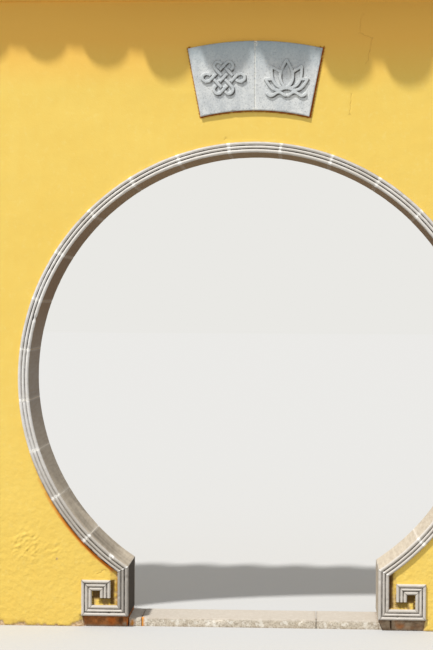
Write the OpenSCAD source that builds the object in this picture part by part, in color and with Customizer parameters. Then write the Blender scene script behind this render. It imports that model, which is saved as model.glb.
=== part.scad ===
// Moon gate: a plastered garden wall with a full-height round opening.
// The opening is framed by moulded ring stones that turn into square scroll feet.
// Millimetres, +Z up, front of the wall towards -Y.
// Origin: on the ground, below the centre of the opening, in the middle of the wall.

/* [Wall] */
// Length of the stretch of wall
wall_len = 4450; // [4200:10:5200]
// Height of the plastered wall up to the coping
wall_h = 3045; // [2950:5:3300]
// Thickness of the wall, plaster to plaster
wall_t = 305; // [280:5:330]

/* [Opening] */
// Clear radius of the round opening
gate_r = 1100; // [1050:5:1130]
// Height of the centre of the opening above the ground
gate_z = 1213; // [1190:1:1240]
// Clear width between the upright jambs below the round
jamb_gap = 1216; // [1150:2:1280]
// Number of stones in the ring
stone_count = 23; // [21:2:25]
// Width of the mortar joints between the ring stones
joint_w = 5; // [3:1:8]

/* [Moulding] */
// Width of the moulding round the opening
mould_w = 52; // [50:1:56]
// How far the moulding stands out of the plaster
mould_proud = 15; // [9:1:17]
// Radius of the two bold beads
bead_r = 8; // [7:0.5:8.5]
// Radius of the fine bead between them
fine_bead_r = 5; // [4:0.5:5.5]

/* [Scroll feet] */
// Height of the underside of the feet above the ground
foot_z = 54; // [45:1:60]
// Width of a foot from the jamb face to its far side
foot_w = 230; // [222:1:240]
// Height of a foot
foot_h = 175; // [168:1:186]
// Clear gap between the upright bars of the scroll
scroll_gap = 40; // [36:1:44]
// Length of the short end bar of the scroll, from the top of the foot
arm_len = 86; // [80:1:98]
// Depth to which the scroll bars are let into the wall
scroll_bed = 30; // [20:1:40]

/* [Threshold] */
// Height of the threshold stones above the ground
sill_h = 42; // [35:1:48]
// Depth of the threshold stones through the wall
sill_d = 245; // [200:5:260]
// Place of the joint near the left jamb
sill_joint_left = -545; // [-560:5:-500]
// Place of the joint right of the middle
sill_joint_right = 308; // [250:1:350]

/* [Plaque] */
// Width of the fan-shaped plaque at its top corners
plaque_top_w = 652; // [600:1:700]
// Width of the plaque at its bottom corners
plaque_bottom_w = 525; // [480:1:560]
// Radius of the upper edge of the plaque
plaque_top_r = 1470; // [1440:5:1500]
// Radius of the lower edge of the plaque
plaque_bottom_r = 1136; // [1120:2:1160]
// Height of the common centre of both edges
plaque_arc_z = 1380; // [1370:1:1400]
// Thickness of the plaque stone
plaque_t = 30; // [25:1:40]
// How far the plaque stands out of the plaster
plaque_proud = 14; // [8:1:18]

/* [Coping] */
// Distance between the rows of tiles along the wall
tile_pitch = 287; // [270:1:300]
// Pitch of the roof slopes in degrees
roof_pitch = 30; // [26:1:34]
// How far the eave courses reach out of the wall
eave_out = 100; // [90:5:110]
// Outer radius of the barrel-shaped cover tiles
cover_r = 72; // [66:1:76]
// Inner radius of the troughs of the pan tiles
pan_r = 138; // [130:1:145]
// Length of the pointed tongue of the drip tiles
drip_h = 120; // [115:5:140]
// Thickness of the tiles
tile_t = 12; // [10:1:16]
// Width of the base of the ridge
ridge_w = 235; // [210:5:255]

/* [Hidden] */
$fn = 48;
RING_FN = 240;
STONE_NAMES = ["ring_stone_01", "ring_stone_02", "ring_stone_03", "ring_stone_04", "ring_stone_05",
    "ring_stone_06", "ring_stone_07", "ring_stone_08", "ring_stone_09", "ring_stone_10",
    "ring_stone_11", "ring_stone_12", "ring_stone_13", "ring_stone_14", "ring_stone_15",
    "ring_stone_16", "ring_stone_17", "ring_stone_18", "ring_stone_19", "ring_stone_20",
    "ring_stone_21", "ring_stone_22", "ring_stone_23"];

// Small overlap that makes a cutter reach past the face it cuts
eps = 1;
half_len = wall_len / 2;
half_t = wall_t / 2;
// Front of the beads and floor of the grooves, from the middle of the wall
mould_front = half_t + mould_proud;
groove_floor = mould_front - bead_r;

ring_r = gate_r + mould_w;
jamb_in = jamb_gap / 2;
jamb_out = jamb_in + mould_w;
// Corners of the mitre where the ring meets the jamb
mitre_in_z = gate_z - sqrt(gate_r * gate_r - jamb_in * jamb_in);
mitre_out_z = gate_z - sqrt(ring_r * ring_r - jamb_out * jamb_out);
// Half of the angle that the ring covers, measured from the top
ring_half_angle = 180 - asin(jamb_in / gate_r);
stone_angle = 2 * ring_half_angle / stone_count;
joint_angle = joint_w / (gate_r + mould_w / 2) * 180 / PI;
// Height at which the masonry over the opening is parted from the two sides
split_z = gate_z + ring_r * sin(60);

foot_out = jamb_in + foot_w;
footing_half_d = half_t - 18;
arm_right = jamb_out + (foot_w - 3 * mould_w - scroll_gap);

plaque_lean = atan((plaque_top_w - plaque_bottom_w) / 2 / (plaque_corner_z(plaque_top_w, plaque_top_r)
    - plaque_corner_z(plaque_bottom_w, plaque_bottom_r)));
plaque_apex_z = plaque_corner_z(plaque_bottom_w, plaque_bottom_r) - plaque_bottom_w / 2 / tan(plaque_lean);
plaque_joint = 3;

course_h = 60;
eave_z = wall_h + course_h;
bed_z = eave_z + 110;
bed_out = half_t + eave_out + 25;
bed_edge = 22;
bed_peak_z = bed_z + bed_edge + bed_out * tan(roof_pitch);

// Troughs between the cover tiles, and the height of the cover tiles' seat above the bed
pan_count = floor((wall_len - 2 * cover_r) / tile_pitch);
pan_half_w = tile_pitch / 2 - 44;
seat_h = pan_r + tile_t - sqrt(pan_r * pan_r - pow(pan_half_w * pan_r / (pan_r + tile_t), 2));
tile_overhang = 40;
slope_reach = 300;
// Height at which the crowns of the cover tiles run into the base of the ridge
crown_h = seat_h + cover_r;
crown_z = bed_z + bed_edge + (bed_out - ridge_w / 2) * tan(roof_pitch) + crown_h / cos(roof_pitch);

function plaque_corner_z(w, r) = plaque_arc_z + sqrt(r * r - w * w / 4);

// Half of the moulding's section, in the plane of width and distance from mid-wall
module bead_profile(inset = 0) {
    translate([inset, 0]) square([mould_w - 2 * inset, groove_floor - inset]);
    for (bead_s = [bead_r, mould_w - bead_r]) translate([bead_s, groove_floor - inset]) circle(bead_r - inset);
    translate([mould_w / 2, mould_front - fine_bead_r - inset]) circle(fine_bead_r);
    translate([mould_w / 2 - fine_bead_r, groove_floor - inset - eps])
        square([2 * fine_bead_r, mould_front - fine_bead_r - groove_floor + eps]);
}

// Section through a piece that is moulded on the front and on the back of the wall
module through_profile(inset = 0) {
    bead_profile(inset);
    mirror([0, 1]) bead_profile(inset);
}

// Section of a scroll bar: only the part that is let into one face of the wall
module scroll_profile() {
    intersection() {
        bead_profile();
        translate([0, half_t - scroll_bed]) square([mould_w, mould_front]);
    }
}

// Prism on the plane of the wall, from a flat outline given in x and z
module through_wall(depth) {
    rotate([90, 0, 0]) linear_extrude(height = depth, center = true) children();
}

// Arc about the centre of the opening, from a section given in radius and depth
module ring_arc(start, angle) {
    translate([0, 0, gate_z]) rotate([90, 0, 0]) rotate([0, 0, start])
        rotate_extrude(angle = angle, $fn = RING_FN) children();
}

module stone_arc(start, angle) {
    ring_arc(start, angle) translate([gate_r, 0]) through_profile();
}

// Everything on the jamb's side of the mitre between ring and left jamb
module left_mitre_outline() {
    slope = (mitre_in_z - mitre_out_z) / mould_w;
    reach = 100;
    polygon([[-jamb_in + reach, mitre_in_z + slope * reach], [-jamb_in + reach, 0],
        [-jamb_out - reach, 0], [-jamb_out - reach, mitre_out_z - slope * reach]]);
}

module ring_stone(index) {
    first = index == 0;
    last = index == stone_count - 1;
    start = 90 + ring_half_angle - (index + 1) * stone_angle + (last ? 0 : joint_angle / 2);
    angle = stone_angle - joint_angle / (first || last ? 2 : 1);
    color("lightgray")
    if (first || last) {
        difference() {
            stone_arc(start, angle);
            if (first) through_wall(2 * mould_front + 2 * eps) left_mitre_outline();
            if (last) mirror([1, 0, 0]) through_wall(2 * mould_front + 2 * eps) left_mitre_outline();
        }
    } else {
        stone_arc(start, angle);
    }
}

// Lime mortar in the joints of the ring, kept a little back from the stones' faces
module ring_mortar() {
    recess = 2;
    color("ivory")
    for (joint = [1 : stone_count - 1])
        ring_arc(90 + ring_half_angle - joint * stone_angle - joint_angle / 2, joint_angle)
            translate([gate_r, 0]) through_profile(recess);
}

module left_jamb() {
    color("lightgray")
    difference() {
        translate([-jamb_in, 0, foot_z]) mirror([1, 0, 0])
            linear_extrude(height = mitre_in_z - foot_z) through_profile();
        // mitre with the ring
        through_wall(2 * mould_front + 2 * eps)
            polygon([[-jamb_in, mitre_in_z], [-jamb_out, mitre_out_z], [-jamb_out - eps, mitre_out_z - eps],
                [-jamb_out - eps, mitre_in_z + eps], [-jamb_in, mitre_in_z + eps]]);
        // mitres with the scrolls, only as deep as these are let in
        for (side = [-1, 1])
            translate([0, side * (half_t - scroll_bed + mould_front), 0])
                through_wall(2 * mould_front)
                polygon([[-jamb_in, foot_z], [-jamb_out - eps, foot_z + mould_w + eps],
                    [-jamb_out - eps, foot_z - eps], [-jamb_in, foot_z - eps]]);
    }
}

// Bar along +X with its outer edge on z = 0; its ends are mitred where asked
module mitred_bar(length, mitre_start, mitre_end) {
    cut_start = mitre_start ? mould_w : 0;
    cut_end = mitre_end ? mould_w : 0;
    intersection() {
        rotate([90, 0, 90]) linear_extrude(height = length) rotate(90) scroll_profile();
        through_wall(2 * mould_front + 2 * eps)
            polygon([[0, 0], [length, 0], [length - cut_end, mould_w], [cut_start, mould_w]]);
    }
}

// Front scroll at the left jamb: four mitred bars that coil inwards
module front_left_scroll() {
    color("lightgray") {
        translate([-foot_out, 0, foot_z]) mitred_bar(foot_w, true, true);
        translate([-foot_out, 0, foot_z + foot_h]) rotate([0, 90, 0]) mitred_bar(foot_h, true, true);
        translate([-arm_right, 0, foot_z + foot_h]) rotate([0, 180, 0])
            mitred_bar(foot_out - arm_right, true, true);
        translate([-arm_right, 0, foot_z + foot_h - arm_len]) rotate([0, -90, 0])
            mitred_bar(arm_len, false, true);
    }
}

// Outline of the opening in the masonry, with room for ring and jambs
module opening_outline() {
    translate([0, gate_z]) circle(ring_r, $fn = RING_FN);
    translate([-jamb_out, -eps]) square([2 * jamb_out, mitre_in_z + eps]);
    translate([-foot_out, -eps]) square([2 * foot_out, foot_z + eps]);
}

module plaque_outline(grow) {
    reach = plaque_top_r + plaque_arc_z - plaque_apex_z;
    intersection() {
        translate([0, plaque_arc_z]) difference() {
            circle(plaque_top_r + grow, $fn = RING_FN);
            circle(plaque_bottom_r - grow, $fn = RING_FN);
        }
        polygon([[0, plaque_apex_z], [-reach * tan(plaque_lean), plaque_apex_z + reach],
            [reach * tan(plaque_lean), plaque_apex_z + reach]]);
    }
}

module wall_piece(x, z, w, h) {
    color("gold")
    difference() {
        through_wall(wall_t) difference() {
            translate([x, z]) square([w, h]);
            opening_outline();
        }
        scroll_pockets();
        translate([0, -half_t + (plaque_t - plaque_proud) / 2 - eps / 2, 0])
            through_wall(plaque_t - plaque_proud + eps) plaque_outline(0);
    }
}

// Outline of the scroll's bars, cut into both faces of the wall
module scroll_outline() {
    translate([-foot_out, foot_z]) square([foot_w, mould_w]);
    translate([-foot_out, foot_z]) square([mould_w, foot_h]);
    translate([-foot_out, foot_z + foot_h - mould_w]) square([foot_out - arm_right, mould_w]);
    translate([-arm_right - mould_w, foot_z + foot_h - arm_len]) square([mould_w, arm_len]);
}

module scroll_pockets() {
    for (left = [0, 1])
        mirror([left, 0, 0])
        for (side = [-1, 1])
            translate([0, side * (half_t - scroll_bed / 2 + eps / 2), 0])
                mirror([1, 0, 0]) through_wall(scroll_bed + eps) scroll_outline();
}

module footing() {
    color("saddlebrown")
    for (left = [0, 1])
        mirror([left, 0, 0])
            translate([jamb_in, -footing_half_d, 0]) cube([foot_w, 2 * footing_half_d, foot_z]);
}

// Threshold stone with worn, rounded upper edges
module threshold(from, to) {
    gap = 1.5;
    edge_r = 6;
    color("lightgray")
    translate([from + gap, 0, 0]) rotate([90, 0, 90]) linear_extrude(height = to - from - 2 * gap) {
        translate([-sill_d / 2, 0]) square([sill_d, sill_h - edge_r]);
        translate([-sill_d / 2 + edge_r, 0]) square([sill_d - 2 * edge_r, sill_h]);
        for (side = [-1, 1]) translate([side * (sill_d / 2 - edge_r), sill_h - edge_r]) circle(edge_r);
    }
}

module plaque(side) {
    color("silver")
    translate([0, -half_t - plaque_proud + plaque_t / 2, 0])
        through_wall(plaque_t) intersection() {
            plaque_outline(0);
            translate([side < 0 ? -plaque_top_w : plaque_joint / 2, 0])
                square([plaque_top_w - (side < 0 ? plaque_joint / 2 : 0), wall_h]);
        }
}

// Prism along the whole wall, from an outline given in y and z
module along_wall() {
    rotate([90, 0, 90]) linear_extrude(height = wall_len, center = true) children();
}

// Half-round course under the eave
module eave_course_lower() {
    nose_r = course_h / 2;
    color("gainsboro")
    along_wall() {
        translate([-half_t, wall_h]) square([wall_t, course_h]);
        for (side = [-1, 1]) translate([side * half_t, wall_h + nose_r]) circle(nose_r);
    }
}

// Flat course, cove and fillet that carry the tiles
module eave_course_upper() {
    fillet_h = 45;
    flat_out = half_t + 0.6 * eave_out;
    full_out = half_t + eave_out;
    cove_r = full_out - flat_out;
    color("gainsboro")
    along_wall() difference() {
        union() {
            translate([-flat_out, eave_z]) square([2 * flat_out, bed_z - eave_z]);
            translate([-full_out, eave_z + fillet_h]) square([2 * full_out, bed_z - eave_z - fillet_h]);
        }
        for (side = [-1, 1]) translate([side * full_out, eave_z + fillet_h]) circle(cove_r);
    }
}

module roof_outline() {
    polygon([[-bed_out, bed_z], [bed_out, bed_z], [bed_out, bed_z + bed_edge], [0, bed_peak_z],
        [-bed_out, bed_z + bed_edge]]);
}

module roof_bed() {
    color("dimgray") along_wall() roof_outline();
}

// Places its children on the front slope: x along the wall, y up the slope from the eave, z off the bed
module on_front_slope() {
    translate([0, -bed_out, bed_z + bed_edge]) rotate([roof_pitch, 0, 0]) children();
}

// Everything under the base of the ridge, where the tiles of the front slope end
module ridge_zone() {
    translate([-wall_len, -ridge_w / 2, bed_z]) cube([2 * wall_len, ridge_w, 2 * (bed_peak_z - bed_z)]);
}

// Pointed tongue of a drip tile, seen from the front: a pointed arch turned upside down
module drip_outline() {
    half_w = tile_pitch / 2 - 30;
    shift = (drip_h * drip_h - half_w * half_w) / (2 * half_w);
    for (low = [0, 1]) intersection() {
        translate([-shift, 0]) circle(half_w + shift);
        translate([shift, 0]) circle(half_w + shift);
        translate([-half_w, low == 1 ? -drip_h : 0]) square([2 * half_w, low == 1 ? drip_h : seat_h]);
    }
}

// Pan tiles on their mortar: troughs down the slope, each with a drip tile at the eave
module front_pan_tiles() {
    first_x = -(pan_count - 1) / 2 * tile_pitch;
    drip_y = -bed_out - tile_overhang * cos(roof_pitch) - seat_h * sin(roof_pitch);
    drip_z = bed_z + bed_edge - tile_overhang * sin(roof_pitch);
    trough_back = tile_overhang + 2 * tile_t;
    color("dimgray")
    difference() {
        union() {
            on_front_slope() translate([-half_len, 0, 0]) cube([wall_len, slope_reach, seat_h]);
            for (row = [0 : pan_count - 1]) {
                on_front_slope() intersection() {
                    translate([first_x + row * tile_pitch, -tile_overhang, pan_r + tile_t])
                        rotate([-90, 0, 0]) cylinder(r = pan_r + tile_t, h = trough_back, $fn = 96);
                    translate([-half_len, -tile_overhang, 0]) cube([wall_len, trough_back, seat_h]);
                }
                translate([first_x + row * tile_pitch, drip_y + tile_t / 2, drip_z])
                    through_wall(tile_t) drip_outline();
            }
        }
        on_front_slope() {
            for (row = [0 : pan_count - 1])
                translate([first_x + row * tile_pitch, -slope_reach, pan_r + tile_t])
                    rotate([-90, 0, 0]) cylinder(r = pan_r, h = 3 * slope_reach, $fn = 96);
            for (row = [0 : pan_count])
                translate([first_x + (row - 0.5) * tile_pitch, -slope_reach, seat_h])
                    rotate([-90, 0, 0]) cylinder(r = cover_r + eps, h = slope_reach - tile_overhang);
        }
        ridge_zone();
    }
}

// Rows of barrel tiles down the front slope; the lowest tile of a row is closed by a round end
module front_cover_tiles() {
    first_x = -pan_count / 2 * tile_pitch;
    end_t = 18;
    lap_y = 90;
    lap_step = 4;
    color("gray")
    for (row = [0 : pan_count])
        difference() {
            on_front_slope() translate([first_x + row * tile_pitch, 0, seat_h]) rotate([-90, 0, 0]) {
                difference() {
                    union() {
                        translate([0, 0, -tile_overhang]) cylinder(r = cover_r, h = lap_y + tile_overhang);
                        cylinder(r = cover_r - lap_step, h = slope_reach);
                    }
                    translate([-2 * cover_r, 0, -2 * tile_overhang])
                        cube([4 * cover_r, 2 * cover_r, 2 * slope_reach]);
                }
                translate([0, 0, -tile_overhang - end_t]) cylinder(r = cover_r, h = end_t);
            }
            ridge_zone();
        }
}

// Ridge: base, fillets, neck and a round cap, seated on the bed
module ridge() {
    base_z = bed_peak_z - ridge_w / 2 * tan(roof_pitch);
    base_top = crown_z + 15;
    fillet_w = ridge_w + 30;
    fillet_h = 25;
    neck_w = 150;
    neck_h = 65;
    cap_w = 190;
    cap_seat_h = 20;
    cap_r = 80;
    color("dimgray")
    along_wall() {
        polygon([[-ridge_w / 2, base_z], [0, bed_peak_z], [ridge_w / 2, base_z], [ridge_w / 2, base_top],
            [-ridge_w / 2, base_top]]);
        translate([-fillet_w / 2, base_top]) square([fillet_w, fillet_h]);
        translate([-neck_w / 2, base_top]) square([neck_w, fillet_h + neck_h + cap_seat_h]);
        translate([-cap_w / 2, base_top + fillet_h + neck_h]) square([cap_w, cap_seat_h]);
        translate([0, base_top + fillet_h + neck_h + cap_seat_h]) circle(cap_r);
    }
}

wall_piece(-half_len, 0, half_len, split_z);  // wall_left
wall_piece(0, 0, half_len, split_z);  // wall_right
wall_piece(-half_len, split_z, wall_len, wall_h - split_z);  // wall_over_gate
for (i = [0 : stone_count - 1])
    ring_stone(i);
ring_mortar();
left_jamb();  // jamb_left
mirror([1, 0, 0]) left_jamb();  // jamb_right
front_left_scroll();  // scroll_front_left
mirror([1, 0, 0]) front_left_scroll();  // scroll_front_right
mirror([0, 1, 0]) front_left_scroll();  // scroll_back_left
rotate([0, 0, 180]) front_left_scroll();  // scroll_back_right
footing();
threshold(-jamb_in, sill_joint_left);  // threshold_left
threshold(sill_joint_left, sill_joint_right);  // threshold_middle
threshold(sill_joint_right, jamb_in);  // threshold_right
plaque(-1);  // plaque_left
plaque(1);  // plaque_right
eave_course_lower();
eave_course_upper();
roof_bed();
front_pan_tiles();  // pan_tiles_front
rotate([0, 0, 180]) front_pan_tiles();  // pan_tiles_back
front_cover_tiles();  // cover_tiles_front
rotate([0, 0, 180]) front_cover_tiles();  // cover_tiles_back
ridge();
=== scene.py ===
"""Finish and small forms of a plastered moon gate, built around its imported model."""

import math
from functools import reduce
from itertools import pairwise, product

import bmesh
import bpy
import numpy as np
from mathutils import Matrix, Vector
from mathutils.geometry import delaunay_2d_cdt


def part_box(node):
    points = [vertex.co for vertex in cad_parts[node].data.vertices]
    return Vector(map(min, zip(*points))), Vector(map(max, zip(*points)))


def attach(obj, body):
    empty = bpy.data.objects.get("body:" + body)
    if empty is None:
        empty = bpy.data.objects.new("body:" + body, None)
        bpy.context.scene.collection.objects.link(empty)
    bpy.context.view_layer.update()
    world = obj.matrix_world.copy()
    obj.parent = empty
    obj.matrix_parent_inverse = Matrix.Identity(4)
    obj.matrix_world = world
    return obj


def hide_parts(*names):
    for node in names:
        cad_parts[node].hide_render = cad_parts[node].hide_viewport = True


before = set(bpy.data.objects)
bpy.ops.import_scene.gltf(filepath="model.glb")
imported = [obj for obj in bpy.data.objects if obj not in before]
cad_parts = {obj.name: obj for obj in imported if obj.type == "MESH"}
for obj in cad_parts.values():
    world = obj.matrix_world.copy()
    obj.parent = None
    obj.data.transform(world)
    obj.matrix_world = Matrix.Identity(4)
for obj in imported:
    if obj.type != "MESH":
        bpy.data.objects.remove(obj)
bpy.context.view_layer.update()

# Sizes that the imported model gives, in metres
STONES = [f"ring_stone_{i:02d}" for i in range(1, 24)]
HALF_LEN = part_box("wall_right")[1].x
HALF_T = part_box("wall_right")[1].y
WALL_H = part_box("wall_over_gate")[1].z
RING_R = max(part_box(stone)[1].x for stone in STONES)
GATE_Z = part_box("ring_stone_12")[1].z - RING_R
JAMB_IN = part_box("jamb_right")[0].x
JAMB_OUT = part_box("jamb_right")[1].x
MOULD_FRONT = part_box("jamb_right")[1].y
MOULD_W = JAMB_OUT - JAMB_IN
GATE_R = RING_R - MOULD_W
FOOT_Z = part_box("scroll_front_right")[0].z
FOOT_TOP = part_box("scroll_front_right")[1].z
FOOT_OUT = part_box("scroll_front_right")[1].x
MITRE_IN_Z = GATE_Z - math.sqrt(GATE_R ** 2 - JAMB_IN ** 2)
MITRE_OUT_Z = GATE_Z - math.sqrt(RING_R ** 2 - JAMB_OUT ** 2)
RING_HALF_ANGLE = math.pi - math.asin(JAMB_IN / GATE_R)
STONE_ANGLE = 2 * RING_HALF_ANGLE / len(STONES)
SILL_HALF_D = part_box("threshold_middle")[1].y
SILL_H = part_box("threshold_middle")[1].z

# Moulding: its beads, the grooves between them and the mortar joints
BEAD_R = 0.008
FINE_BEAD_R = 0.0066
GROOVE_FLOOR = MOULD_FRONT - BEAD_R
GROOVE_FROM_MIDDLE = 0.0085
GROOVE_HALF_W = 0.0025
JOINT_W = 0.005
JOINT_RECESS = 0.0004

# Scroll: the bottom of the bed that it is let into, and the side and length of its last arm
SCROLL_BED = HALF_T - 0.030
ARM_RIGHT = 0.694
ARM_LEN = 0.086

# Coping
TILE_PITCH = 0.287
PAN_COUNT = 15
BED_EDGE = 0.022
COVER_R = 0.072
PAN_R = 0.138
TILE_T = 0.012
SEAT_H = 0.0466
OVERHANG = 0.040
BED_LOW, BED_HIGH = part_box("roof_bed")
BED_OUT = BED_HIGH.y
ROOF_PITCH = math.atan2(BED_HIGH.z - BED_LOW.z - BED_EDGE, BED_OUT)
RIDGE_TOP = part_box("ridge")[1].z
RIDGE_HALF_W = 0.1175
# How far each row of tiles on the front lies down from its place, left to right; a negative row lies higher
PAN_SLIPS = (-0.024, -0.028, -0.030, -0.030, -0.018, 0.008, 0.013, 0.016, 0.019, 0.020, 0.016, 0.010, 0.005,
             0.0, -0.003)
COVER_SLIPS = (-0.014, -0.016, -0.017, -0.017, -0.016, -0.010, 0.0, 0.006, 0.009, 0.013, 0.013, 0.010, 0.006,
               0.003, 0.0, -0.002)

# Plaque: two arcs about one centre, with slanting sides
PLAQUE_FRONT = -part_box("plaque_left")[0].y
PLAQUE_TOP_R = 1.470
PLAQUE_BOTTOM_R = 1.136
PLAQUE_ARC_Z = 1.380
PLAQUE_TOP_W = 0.652
PLAQUE_BOTTOM_W = 0.525
PLAQUE_SIDE = 0.335
PLAQUE_JOINT = 0.0008
PLAQUE_DEPTH = 0.028

# How far the plaster reaches behind the edge of the stones
LAP = 0.007

# Signs of the wall's two faces, and the corners of a cell of noise
FRONT = -1
BACK = 1
CORNERS = np.array(list(product((0, 1), repeat=3)))


def srgb(red, green, blue):
    """A colour written as it looks on a screen, from 0 to 255, for a shader's socket."""
    linear = [((c / 255 + 0.055) / 1.055) ** 2.4 if c > 10 else c / 255 / 12.92 for c in (red, green, blue)]
    return (*linear, 1.0)


# Values at many points


def stacked(*columns):
    """Columns of numbers, or single numbers, side by side as points."""
    return np.stack(np.broadcast_arrays(*columns), axis=1)


def most(*values):
    """The largest of several values at each point."""
    return reduce(np.maximum, values)


def even(steps):
    return np.linspace(0, 1, steps + 1)


def fine_ends(steps, end):
    """Values from 0 to 1 in even steps, with a short step of its own size at each end."""
    return np.concatenate([[0.0], np.linspace(end, 1 - end, steps - 1), [1.0]])


def rise(low, high, value):
    """0 below low and 1 above high, with a smooth change between them."""
    t = np.clip((value - low) / (high - low), 0, 1)
    return t * t * (3 - 2 * t)


def fade(low, high, value):
    """1 below low and 0 above high, with a smooth change between them."""
    return 1 - rise(low, high, value)


def lattice(cells, seed):
    """A fixed random value from -1 to 1 for each whole-number cell."""
    mix = cells[:, 0] * 374761393 + cells[:, 1] * 668265263 + cells[:, 2] * 1442695041 + seed * 974634777
    mix = mix & 0xFFFFFFFF
    mix = ((mix ^ (mix >> 13)) * 1274126177) & 0xFFFFFFFF
    mix = mix ^ (mix >> 16)
    return (mix & 0xFFFF) / 32767.5 - 1.0


def noise(points, size, seed, layers=1):
    """Smooth noise from about -1 to 1. Its lumps are size across, and each further layer halves them."""
    total = np.zeros(len(points))
    for layer in range(layers):
        scaled = points / size * 2 ** layer + 50.0
        cells = np.floor(scaled).astype(np.int64)
        part = scaled - cells
        part = part * part * (3 - 2 * part)
        for corner in CORNERS:
            weight = np.prod(np.where(corner, part, 1 - part), axis=1)
            total += weight * lattice(cells + corner, seed + layer) * 0.5 ** layer
    return total


def ragged_noise(points, size, seed):
    """Uneven noise that stays between -1 and 1."""
    return np.clip(noise(points, size, seed, 3), -1, 1)


def lower_left(x, z):
    """1 along the lower left part of the ring, growing downwards from 0."""
    angle = np.degrees(np.arctan2(z - GATE_Z, x)) % 360
    return rise(192, 225, angle) * fade(236, 240, angle)


def spot(x, z, centre, radii):
    """1 at the centre of an oval, 0 outside it."""
    return fade(0.45, 1.0, np.hypot((x - centre[0]) / radii[0], (z - centre[1]) / radii[1]))


# Meshes


def between(first, second):
    """Faces between two closed rings of corners."""
    return list(zip(first, first[1:] + first[:1], second[1:] + second[:1], second))


def sweep(profile, times, place):
    """Closed skin of a section that moves along a path: place(a, b, t) gives its points for each t."""
    first, second = np.asarray(profile, float).T
    verts = np.concatenate([stacked(*place(first, second, t)) for t in times])
    count = len(first)
    rings = [list(range(i * count, (i + 1) * count)) for i in range(len(times))]
    faces = [face for pair in pairwise(rings) for face in between(*pair)]
    return verts, faces + [rings[0][::-1], rings[-1]]


def join(parts):
    """One skin from several."""
    verts, faces, offset = [], [], 0
    for part_verts, part_faces in parts:
        verts.append(part_verts)
        faces += [[i + offset for i in face] for face in part_faces]
        offset += len(part_verts)
    return np.concatenate(verts), faces


def join_masks(parts):
    return {name: np.concatenate([part[name] for part in parts]) for name in parts[0]}


def face_outwards(mesh):
    work = bmesh.new()
    work.from_mesh(mesh)
    bmesh.ops.recalc_face_normals(work, faces=work.faces)
    work.to_mesh(mesh)
    work.free()


def read_vectors(source, name):
    values = np.empty(3 * len(source), np.float32)
    source.foreach_get(name, values)
    return values.reshape(-1, 3).astype(float)


def wear(mesh, depth, size, layers, seed, chips, top):
    """Moves the skin in and out by noise and chips it (place, radius, depth), between the floor and a top."""
    places = read_vectors(mesh.vertices, "co")
    shift = depth * noise(places, size, seed, layers)
    for place, radius, chip_depth in chips:
        shift -= chip_depth * fade(0.35 * radius, radius, np.linalg.norm(places - np.array(place), axis=1))
    places += read_vectors(mesh.vertex_normals, "vector") * shift[:, None]
    places[:, 2] = np.clip(places[:, 2], 0.0, top)
    mesh.vertices.foreach_set("co", places.astype(np.float32).ravel())
    mesh.update()


def add_piece(name, skin, material, nodes=(), sharp=40, masks=None, worn=None, chips=(), top=math.inf):
    """A piece that rides on the body, stands for the named nodes and has a smooth skin but for sharp edges.
    How it is worn is given as depth, size of the lumps, layers of noise and seed."""
    verts, faces = skin
    mesh = bpy.data.meshes.new(name)
    mesh.from_pydata(verts.tolist(), [], faces)
    mesh.update()
    mesh.shade_smooth()
    mesh.set_sharp_from_angle(angle=math.radians(sharp))
    for mask, values in (masks or {}).items():
        attribute = mesh.attributes.new(mask, "FLOAT", "POINT")
        attribute.data.foreach_set("value", np.broadcast_to(values, len(verts)).astype(np.float32))
    mesh.materials.append(material)
    face_outwards(mesh)
    if worn:
        wear(mesh, *worn, chips, top)
    piece = bpy.data.objects.new(name, mesh)
    bpy.context.scene.collection.objects.link(piece)
    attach(piece, "root")
    if nodes:
        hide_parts(*nodes)


# Materials


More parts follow.
